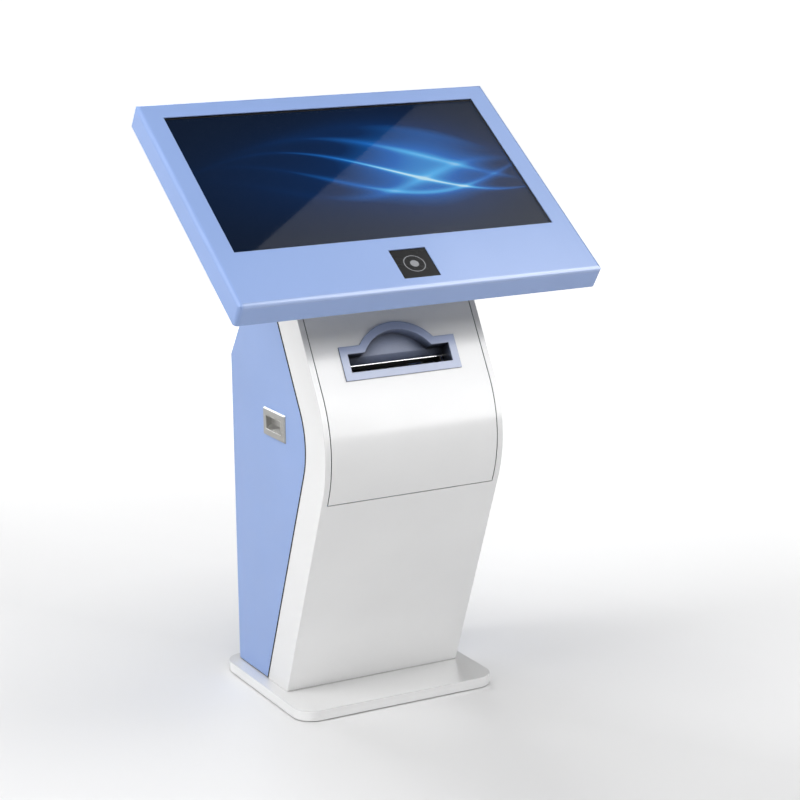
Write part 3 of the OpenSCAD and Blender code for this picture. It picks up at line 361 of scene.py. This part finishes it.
def display(name):
    """A picture of light ribbons on deep blue, drawn from sine curves."""
    g = Graph(name)
    u, v = screen_coords(g)

    def glow(middle_u, middle_v, reach_u, reach_v, gain):
        du = g.square(g.math("DIVIDE", g.math("SUBTRACT", u, middle_u), reach_u))
        dv = g.square(g.math("DIVIDE", g.math("SUBTRACT", v, middle_v), reach_v))
        return g.math("MULTIPLY", g.math("EXPONENT", g.math("MULTIPLY", g.math("ADD", du, dv), -1.0)), gain)

    total = g.math("ADD", glow(0.72, 0.52, 0.20, 0.30, 0.42), glow(0.48, 0.46, 0.42, 0.34, 0.16))
    ribbons_fade = glow(0.68, 0.5, 0.34, 0.6, 1.0)
    for mid, swing, turns, phase, width, gain in (
        (0.50, 0.20, 0.72, 0.4, 0.010, 0.55),
        (0.47, 0.15, 0.85, 1.0, 0.016, 0.36),
        (0.55, 0.24, 0.62, 0.1, 0.022, 0.30),
        (0.43, 0.11, 1.05, 1.7, 0.030, 0.22),
        (0.58, 0.28, 0.55, -0.3, 0.045, 0.16),
    ):
        wave = g.math("SINE", g.math("ADD", g.math("MULTIPLY", u, turns * 2 * math.pi), phase))
        off = g.math("SUBTRACT", v, g.math("ADD", g.math("MULTIPLY", wave, swing), mid))
        line = g.math("DIVIDE", 1.0, g.math("ADD", g.square(g.math("DIVIDE", off, width)), 1.0))
        total = g.math("ADD", total, g.math("MULTIPLY", g.math("MULTIPLY", line, gain), ribbons_fade))
    colour = g.ramp(
        total,
        (0.0, (0.005, 0.011, 0.028)),
        (0.22, (0.004, 0.025, 0.10)),
        (0.50, (0.012, 0.14, 0.52)),
        (0.75, (0.08, 0.45, 0.90)),
        (1.0, (0.55, 0.85, 1.0)),
    )
    g.surface(
        Base_Color=(0.002, 0.003, 0.005, 1.0),
        Specular_IOR_Level=0.0,
        Roughness=0.4,
        Emission_Color=colour,
        Emission_Strength=0.9,
    )


def card_window(name):
    """Dark acrylic with a plain ring and a dot printed behind it."""
    ring, dot = (0.0215, 0.0009), (0.0045, 0.0045)
    sharpness = 6000.0
    g = Graph(name)
    coords = g.coords()
    up = g.math("ADD", g.dot(coords, HEAD_UP), CARD_DOWN - FACE.dot(HEAD_UP))
    r = g.radius(g.dot(coords, ACROSS), up)
    marks = []
    for radius, half_width in (ring, dot):
        near = g.math("SUBTRACT", half_width, g.math("ABSOLUTE", g.math("SUBTRACT", r, radius)))
        marks.append(g.clamp(g.math("MULTIPLY", near, sharpness)))
    g.surface(
        Base_Color=g.ramp(g.math("MAXIMUM", *marks), (0.0, srgb(26, 27, 28)), (1.0, srgb(150, 152, 156))),
        Roughness=g.spread(g.noise(40.0), 0.22, 0.30),
        Specular_IOR_Level=0.2,
    )


def circuit_board(name):
    """Green board with a pattern of pale tracks."""
    g = Graph(name)
    cells = g.add("ShaderNodeTexBrick")
    g.put(cells.inputs["Vector"], g.coords())
    g.put(cells.inputs["Scale"], 60.0)
    g.put(cells.inputs["Color1"], (0.02, 0.14, 0.07, 1.0))
    g.put(cells.inputs["Color2"], (0.025, 0.17, 0.08, 1.0))
    g.put(cells.inputs["Mortar"], (0.10, 0.28, 0.12, 1.0))
    g.surface(Base_Color=cells.outputs["Color"], Roughness=0.35)


def paper(name):
    """Wound paper: fine rings on the ends, faint bands round the roll."""
    rings_per_metre = 1500.0
    g = Graph(name)
    coords = g.coords()
    y = g.math("SUBTRACT", g.dot(coords, BACK), ROLL_Y)
    z = g.math("SUBTRACT", g.dot(coords, UPWARD), ROLL_Z)
    rings = g.math("FRACT", g.math("MULTIPLY", g.radius(y, z), rings_per_metre))
    g.surface(
        Base_Color=g.ramp(rings, (0.0, (0.70, 0.69, 0.66)), (0.4, (0.86, 0.85, 0.82))),
        Roughness=g.spread(g.noise(80.0), 0.6, 0.7),
    )


# Finishes, found by name from here on
GLOSSY_COAT = {"index": 1.85, "coat_rough": 0.2}
BRUSHED = (1.0, 0.1, 1.0)
# Levels where the painted highlights begin: the pull's top facet and the cup bead's lower edge
BEAD_LIT_H = 0.0015
PULL_TOP = PULL_Z + PULL_H / 2 - PULL_BEVEL
CUP_BOTTOM = CUP_H / 2 - BEAD_LIT_H - PULL_Z
paint("blue_paint", BLUE, 0.42, 0.2)
paint("head_paint", BLUE, 0.42, head_gloss, index=2.0, coat_rough=0.16)
paint("cover_paint", srgb(150, 152, 156), 0.42, 0.2)
paint("white_paint", WHITE, 0.36, 1.0, **GLOSSY_COAT)
# The base's top is painted a darker grey as painted shade
paint("base_paint", WHITE, 0.36, 1.0, upper=(BASE_TOP, BASE_TOP_SHADE), **GLOSSY_COAT)
# Outlet bezel: its hollows darkened with painted shade over 60 mm
plastic(
    "bezel_plastic", srgb(167, 181, 217), 0.35, edge=0.004, coat=1.0, recess=0.06, shine=0.25, **GLOSSY_COAT
)
# Pull plate: its top facet painted white as a painted highlight
metal("nickel", NICKEL, 0.40, (1.0, 0.06, 1.0), edge=0.0018, bare=0.75, painted_glint=(UPWARD, PULL_TOP))
# Cup bead: its lower edge painted white as a painted highlight
metal("bead_nickel", NICKEL, 0.40, bare=0.75, painted_glint=(-UPWARD, CUP_BOTTOM))
metal("steel", (0.66, 0.67, 0.69), 0.28)
zinc("zinc_steel", (0.58, 0.60, 0.62))
metal("ballast_steel", (0.28, 0.28, 0.29), 0.5, scale=120.0)
plastic("black_plastic", BLACK, 0.45)
plastic("rubber", (0.015, 0.015, 0.016), 0.75, 500.0)
metal("brass", (0.78, 0.55, 0.22), 0.28)
plastic("gear_plastic", (0.80, 0.76, 0.66), 0.42)
paint("motor_black", BLACK, 0.4, 0.1)
paint("cutter_grey", (0.08, 0.085, 0.09), 0.42, 0.1)
metal("aluminium", (0.78, 0.79, 0.80), 0.36, BRUSHED)
metal("dark_aluminium", (0.06, 0.065, 0.075), 0.42, BRUSHED)
metal("polished_steel", (0.93, 0.93, 0.94), 0.18, (0.06, 1.0, 1.0))
plastic("spindle_plastic", (0.05, 0.13, 0.40), 0.4)
touch_glass("touch_glass")
display("display")
card_window("card_window")
circuit_board("circuit_board")
paper("paper")

FINISH = {m.name: m for m in bpy.data.materials}
OTHER_FINISH = {
    "head_bezel": "head_paint",
    "head_rear_cover": "cover_paint",
    "tear_bar": "bezel_plastic",
    "base_cover": "base_paint",
}
for entry in frame["record"]["subparts"]:
    node = entry["node"]
    nodes[node].data.materials.clear()
    nodes[node].data.materials.append(FINISH[OTHER_FINISH.get(node, entry["material_slot"])])


def piece(name, data, finish, body="cabinet"):
    """A new part of the scene that rides on a body; finish is the name of its material."""
    data.materials.append(FINISH[finish])
    obj = bpy.data.objects.new(name, data)
    scene.collection.objects.link(obj)
    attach(obj, body)


def mesh_of(name, bm):
    mesh = bpy.data.meshes.new(name)
    bm.to_mesh(mesh)
    bm.free()
    return mesh


def screw_heads(name, places, radius, body="cabinet"):
    """Button-head screws with hexagon sockets, each at a point and along a direction."""
    sides, height = 24, 0.6 * radius
    sixth = math.pi / 3
    profile = (
        (1.0, 0.0, False),
        (1.0, 0.35, False),
        (0.94, 0.7, False),
        (0.78, 1.0, False),
        (0.5, 1.0, True),
        (0.46, 0.3, True),
    )
    bm = bmesh.new()
    for at, out in places:
        place = Matrix.Translation(at) @ out.to_track_quat("Z", "Y").to_matrix().to_4x4()
        rings = []
        for wide, high, hexagon in profile:
            ring = []
            for i in range(sides):
                angle = 2 * math.pi * i / sides
                reach = radius * wide
                if hexagon:
                    reach *= math.cos(sixth / 2) / math.cos(angle % sixth - sixth / 2)
                spot = Vector((reach * math.cos(angle), reach * math.sin(angle), height * high))
                ring.append(bm.verts.new(place @ spot))
            rings.append(ring)
        for low, top in zip(rings, rings[1:]):
            for i in range(sides):
                j = (i + 1) % sides
                bm.faces.new((low[i], low[j], top[j], top[i]))
        bm.faces.new(rings[-1])
        bm.faces.new(rings[0][::-1])
    piece(name, mesh_of(name, bm), "steel", body)


# Screws: rear panel, upright and sloping
BACK_Y, BEND_Z = 0.166, 0.687
SLOPE = Vector((0.0, -0.1691, 0.244))
SLOPE_OUT = Vector((0.0, SLOPE.z, -SLOPE.y)).normalized()
PANEL_XS, PANEL_ZS, SLOPE_PARTS = (-0.16, 0.16), (0.04, 0.19, 0.33, 0.47, 0.66), (0.45, 0.9)
PANEL_SCREW_R = 0.0045
panel_places = [(Vector((x, BACK_Y, z)), BACK) for x in PANEL_XS for z in PANEL_ZS]
panel_places += [
    (Vector((x, BACK_Y, BEND_Z)) + part * SLOPE, SLOPE_OUT) for x in PANEL_XS for part in SLOPE_PARTS
]
screw_heads("panel_screws", panel_places, PANEL_SCREW_R)

# Screws: head cover, along its upper and lower edges and then its ends
COVER_OUT, COVER_UP, COVER_SCREW_R = -0.05, 0.272, 0.004
COVER_XS, END_UPS = (-0.375, -0.19, 0.0, 0.19, 0.375), (-0.14, 0.0, 0.14)
cover_spots = [(x, up) for up in (-COVER_UP, COVER_UP) for x in COVER_XS]
cover_spots += [(x, up) for x in (COVER_XS[0], COVER_XS[-1]) for up in END_UPS]
cover_places = [(on_plane(HEAD_PLANE, x, up, COVER_OUT), -HEAD_OUT) for x, up in cover_spots]
screw_heads("cover_screws", cover_places, COVER_SCREW_R)

# Screws: fan and side hinges
FAN_X, FAN_Z, FAN_PITCH, FAN_SCREW_R = -0.065, 0.21, 0.04125, 0.004
fan_places = [
    (Vector((FAN_X + i * FAN_PITCH, BACK_Y, FAN_Z + k * FAN_PITCH)), BACK) for i in (-1, 1) for k in (-1, 1)
]
screw_heads("fan_screws", fan_places, FAN_SCREW_R)
LEAF_Y, LEAF_PITCH, LEAF_SCREW_R = 0.1675, 0.021, 0.0028
HINGE_ZS = (0.083, 0.355, 0.627)
LEAVES = (("hinge_screws_fixed", -0.1739, "cabinet"), ("hinge_screws_door", -0.1912, "side_door"))
for name, x, body in LEAVES:
    leaf_places = [(Vector((x, LEAF_Y, z + k * LEAF_PITCH)), BACK) for z in HINGE_ZS for k in (-1, 1)]
    screw_heads(name, leaf_places, LEAF_SCREW_R, body)

# Serrated blade along the tear bar, in the frame of the upper front plane
BLADE_HALF, BLADE_LOW, BLADE_HIGH, TOOTH = 0.112, 0.1757, 0.1770, 0.0005
BLADE_BACK, BLADE_FRONT = -0.032, -0.0292
HALF_TEETH = 224
bm = bmesh.new()
columns = []
for i in range(HALF_TEETH + 1):
    x = BLADE_HALF * (2 * i / HALF_TEETH - 1)
    low = BLADE_LOW - TOOTH * (i % 2)
    section = ((BLADE_HIGH, BLADE_FRONT), (low, BLADE_FRONT), (low, BLADE_BACK), (BLADE_HIGH, BLADE_BACK))
    columns.append([bm.verts.new(on_plane(UPPER_PLANE, x, along, out)) for along, out in section])
for one, other in zip(columns, columns[1:]):
    for k in range(4):
        bm.faces.new((one[k], one[k - 1], other[k - 1], other[k]))
bm.faces.new(columns[0])
bm.faces.new(columns[-1][::-1])
bmesh.ops.recalc_face_normals(bm, faces=bm.faces)
piece("tear_blade", mesh_of("tear_blade", bm), "polished_steel", "front_door")


def rod(name, points, radius, finish, body="cabinet", kind="NURBS", closed=False):
    """A round rod along the points: NURBS bends softly past them, POLY runs straight from one to the next."""
    curve = bpy.data.curves.new(name, "CURVE")
    curve.dimensions = "3D"
    curve.bevel_depth = radius
    curve.bevel_resolution = 4
    curve.use_fill_caps = True
    spline = curve.splines.new(kind)
    spline.points.add(len(points) - 1)
    for spot, co in zip(spline.points, points):
        spot.co = (*co, 1.0)
    spline.order_u = 4
    spline.use_endpoint_u = True
    spline.resolution_u = 8
    spline.use_cyclic_u = closed
    piece(name, curve, finish, body)


# Bead round the finger cup's opening, with a painted highlight along its lower edge
SIDE_X = -BODY_W / 2
BEAD_R = 0.0011
cup_corners = [
    (SIDE_X - PULL_PROUD, PULL_Y + fore * CUP_L / 2, PULL_Z + high * CUP_H / 2)
    for fore, high in ((-1, -1), (1, -1), (1, 1), (-1, 1))
]
rod("cup_bead", cup_corners, BEAD_R, "bead_nickel", "side_door", "POLY", True)

# Black rubber seal along the side door's front edge, put there as painted shade that darkens the seam; the
# edge is found from the door's outer corners
SHADE_SEAL_R, SHADE_SEAL_AHEAD = 0.0014, Vector((0.0, -0.0018, 0.0))
OUTER_SLACK, PULL_FRONT_Y, DOOR_REAR_Y = 0.0001, -0.1, 0.1
door = nodes["side_door"]
door_edge = {}
for vert in door.data.vertices:
    at = door.matrix_world @ vert.co
    by_pull = at.y > PULL_FRONT_Y and abs(at.z - PULL_Z) < PULL_H / 2
    if abs(at.x - SIDE_X) < OUTER_SLACK and at.y < DOOR_REAR_Y and not by_pull:
        door_edge[round(at.z, 4)] = at + SHADE_SEAL_AHEAD
shade_seal_points = [door_edge[z] for z in sorted(door_edge)]
rod("door_shade_seal", shade_seal_points, SHADE_SEAL_R, "rubber", "side_door", "POLY")

# Wiring between the units in the cabinet, in millimetres
MM_PER_M = 1000
PORT_Y, PORT_Z = 90, 315
RUNS = (
    ("mains_wiring", 3.5, (
        (30, -20, 42), (30, -40, 46), (48, -46, 50), (72, -34, 48), (78, 20, 44), (80, 90, 46), (84, 118, 62),
        (84, 135, 76),
    )),
    ("supply_wiring", 3.0, (
        (-30, -20, 42), (-32, -40, 48), (-52, -42, 58), (-70, -10, 80), (-76, 70, 110), (-76, 116, 190),
        (-66, 120, 290), (-56, 114, PORT_Z), (-56, PORT_Y, PORT_Z),
    )),
    ("fan_wiring", 1.6, (
        (-40, 140, 246), (-36, 130, 258), (-20, 120, 280), (-6, 118, 300), (-6, 108, PORT_Z),
        (-6, PORT_Y, PORT_Z),
    )),
    ("display_wiring", 4.0, (
        (50, PORT_Y, PORT_Z), (50, 112, PORT_Z), (50, 122, 340), (44, 124, 430), (40, 120, 560),
        (32, 108, 690), (18, 60, 780), (4, -10, 826), (0, -40, 846), (0, -69, 887), (0, -98, 930),
        (0, -112, 950),
    )),
    ("printer_wiring", 2.6, (
        (36, PORT_Y, PORT_Z), (36, 108, PORT_Z), (38, 118, 340), (62, 116, 420), (112, 98, 510),
        (136, 78, 548), (139, 62, 566), (139, 20, 564), (138, -60, 563), (134, -98, 572), (128, -110, 594),
        (121, -112, 602),
    )),
)
for name, radius, points in RUNS:
    rod(name, [Vector(point) / MM_PER_M for point in points], radius / MM_PER_M, "rubber")

# Plugs in the controller's ports, each a bevelled body with a tapering neck; places and widths
PLUGS = ((-0.056, 0.018), (-0.006, 0.012), (0.036, 0.011), (0.05, 0.013))
PLUG_Y, PLUG_L, PLUG_H, PLUG_BEVEL = 0.083, 0.012, 0.009, 0.0012
NECK_Y, NECK_L, NECK_WIDE, NECK_THIN = 0.093, 0.012, 0.0048, 0.0036
plug_z = PORT_Z / MM_PER_M
bm = bmesh.new()
for x, wide in PLUGS:
    body_place = Matrix.LocRotScale(Vector((x, PLUG_Y, plug_z)), None, Vector((wide, PLUG_L, PLUG_H)))
    shell = bmesh.ops.create_cube(bm, size=1.0, matrix=body_place)["verts"]
    edges = {edge for vert in shell for edge in vert.link_edges}
    bmesh.ops.bevel(bm, geom=list(edges), offset=PLUG_BEVEL, segments=2, affect="EDGES")
    neck = Matrix.LocRotScale(Vector((x, NECK_Y, plug_z)), (-BACK).to_track_quat("-Z", "Y"), None)
    bmesh.ops.create_cone(
        bm, cap_ends=True, segments=16, radius1=NECK_WIDE, radius2=NECK_THIN, depth=NECK_L, matrix=neck
    )
piece("controller_plugs", mesh_of("controller_plugs", bm), "black_plastic")

# Camera, fitted to the picture's edges
CAM_PLACE = Vector((-1.9676, -3.8705, 1.6149))
CAM_YAW, CAM_PITCH, CAM_ROLL = (math.radians(a) for a in (28.2, 13.2, -0.66))
FOCAL_PX, FRAME_PX, SENSOR = 2173.0, 800.0, 36.0
ahead = Vector((
    math.sin(CAM_YAW) * math.cos(CAM_PITCH), math.cos(CAM_YAW) * math.cos(CAM_PITCH), -math.sin(CAM_PITCH)
))
right = Vector((math.cos(CAM_YAW), -math.sin(CAM_YAW), 0.0))
up = right.cross(ahead)
right_rolled = math.cos(CAM_ROLL) * right + math.sin(CAM_ROLL) * up
up_rolled = -math.sin(CAM_ROLL) * right + math.cos(CAM_ROLL) * up
camera = bpy.data.objects.new("camera", bpy.data.cameras.new("camera"))
scene.collection.objects.link(camera)
camera.data.sensor_width = SENSOR
camera.data.lens = SENSOR * FOCAL_PX / FRAME_PX
axes = Matrix((right_rolled, up_rolled, -ahead)).transposed()
camera.matrix_world = Matrix.Translation(CAM_PLACE) @ axes.to_4x4()
scene.camera = camera
scene.view_settings.view_transform = "Standard"

# Floor: painted light, a glow seen directly and in gloss that makes it paler round the kiosk, more so behind
# it as the camera sees it, and white far off; close to the kiosk it has none
FLOOR_SIZE, FLOOR_Z, FLOOR_GREY = 400, -0.0002, (0.72, 0.72, 0.722, 1.0)
PURE_WHITE = (1.0, 1.0, 1.0, 1.0)
FADE_YAW = CAM_YAW + math.radians(32)
FADE_LENGTH = 8.0
FADE = ((0.0, 0.0), (0.04, 0.09), (0.08, 0.18), (0.14, 0.27), (0.22, 0.37), (0.38, 0.56), (0.6, 0.85))
AROUND_NEAR, AROUND_FAR, AROUND_LEVEL = 0.45, 0.9, 0.06
WHITE_NEAR, WHITE_FAR = 2.2, 6.0
bpy.ops.mesh.primitive_plane_add(size=FLOOR_SIZE, location=(0, 0, FLOOR_Z))
floor = bpy.context.object
floor.name = "floor"
g = Graph("floor")
coords = g.coords()
depth = g.math("MULTIPLY", g.dot(coords, (math.sin(FADE_YAW), math.cos(FADE_YAW), 0.0)), 1 / FADE_LENGTH)
behind = g.ramp(depth, *((at, (level,) * 3) for at, level in FADE))
away = g.add("ShaderNodeVectorMath", operation="LENGTH")
g.put(away.inputs[0], coords)
distance = away.outputs["Value"]
around = g.rescale(distance, AROUND_NEAR, AROUND_FAR, 0.0, AROUND_LEVEL)
glow = g.math("MAXIMUM", g.math("ADD", behind, around), g.rescale(distance, WHITE_NEAR, WHITE_FAR))
direct, in_gloss = g.rays()
floor.data.materials.append(g.surface(
    Base_Color=FLOOR_GREY,
    Roughness=0.6,
    Emission_Color=PURE_WHITE,
    Emission_Strength=g.math("MULTIPLY", glow, g.math("MAXIMUM", direct, in_gloss)),
))

# World: white where seen directly, a white backdrop up to a height where seen in gloss or through glass, and
# hardly any light of its own
BACKDROP_LOW, BACKDROP_HIGH, FILL = 0.08, 0.2, 0.02
g = Graph("studio", "worlds", "ShaderNodeOutputWorld")
scene.world = g.owner
direct, in_gloss = g.rays()
backdrop = g.rescale(g.dot(g.coords("Generated"), UPWARD), BACKDROP_LOW, BACKDROP_HIGH, 1.0, 0.0)
seen = g.math("MAXIMUM", direct, g.math("MULTIPLY", backdrop, in_gloss))
background = g.add("ShaderNodeBackground")
g.put(background.inputs["Color"], PURE_WHITE)
g.put(background.inputs["Strength"], g.math("MAXIMUM", seen, FILL))
g.put(g.out.inputs["Surface"], background.outputs[0])


def softbox(name, matrix, width, height, watts):
    lamp = bpy.data.lights.new(name, "AREA")
    lamp.shape = "RECTANGLE"
    lamp.size, lamp.size_y = width, height
    lamp.energy = watts
    obj = bpy.data.objects.new(name, lamp)
    scene.collection.objects.link(obj)
    obj.matrix_world = matrix


# Lamps round the kiosk: name, place, width, height, watts
LAMP_AIM = Vector((0.0, -0.1, 0.6))
LAMPS = (
    ("front", (-0.6, -3.7, 3.6), 3.0, 2.0, 90),
    ("left_low", (-4.2, 0.0, 1.6), 2.6, 2.0, 32),
    ("left_high", (-3.0, 0.0, 3.5), 2.6, 2.0, 100),
    ("shine", (2.4, -3.3, 2.5), 2.4, 3.6, 93),
    ("right_high", (2.4, -1.0, 4.0), 2.6, 2.0, 42),
    ("right_low", (4.2, -1.0, 1.6), 2.6, 2.0, 24),
    ("back", (0.0, 4.0, 3.5), 3.0, 2.0, 120),
)
for name, place, width, height, watts in LAMPS:
    aim = (LAMP_AIM - Vector(place)).to_track_quat("-Z", "Y")
    softbox(name, Matrix.LocRotScale(Vector(place), aim, None), width, height, watts)
bpy.data.objects["shine"].visible_diffuse = False


def mirrored(across, along, height):
    """Where the camera's ray to a point of the screen meets a level plane after the glass has turned it."""
    point = on_plane(HEAD_PLANE, across, SCREEN_UP + along, 0.0)
    ray = (point - CAM_PLACE).normalized()
    ray -= 2 * ray.dot(HEAD_OUT) * HEAD_OUT
    return point + ray * ((height - point.z) / ray.z)


# Overhead card whose image fills the lower right half of the glass, from an edge across the screen's top and
# bottom
CARD_Z, CARD_TOP_X, CARD_BOTTOM_X = 3.0, 0.224, -0.311
CARD_L, CARD_W, CARD_LEVEL = 3.2, 1.6, 0.5
card_a = mirrored(CARD_TOP_X, SCREEN_H / 2, CARD_Z)
card_b = mirrored(CARD_BOTTOM_X, -SCREEN_H / 2, CARD_Z)
card_far = mirrored(SCREEN_W / 2, -SCREEN_H / 2, CARD_Z)
edge = (card_b - card_a).normalized()
inward = card_far - card_a
inward -= inward.dot(edge) * edge
inward.normalize()
card_place = (card_a + card_b) / 2 + inward * CARD_W / 2
card_axes = Matrix((edge, -edge.cross(UPWARD), UPWARD)).transposed()
card_watts = math.pi * CARD_L * CARD_W * CARD_LEVEL
softbox("card", Matrix.Translation(card_place) @ card_axes.to_4x4(), CARD_L, CARD_W, card_watts)
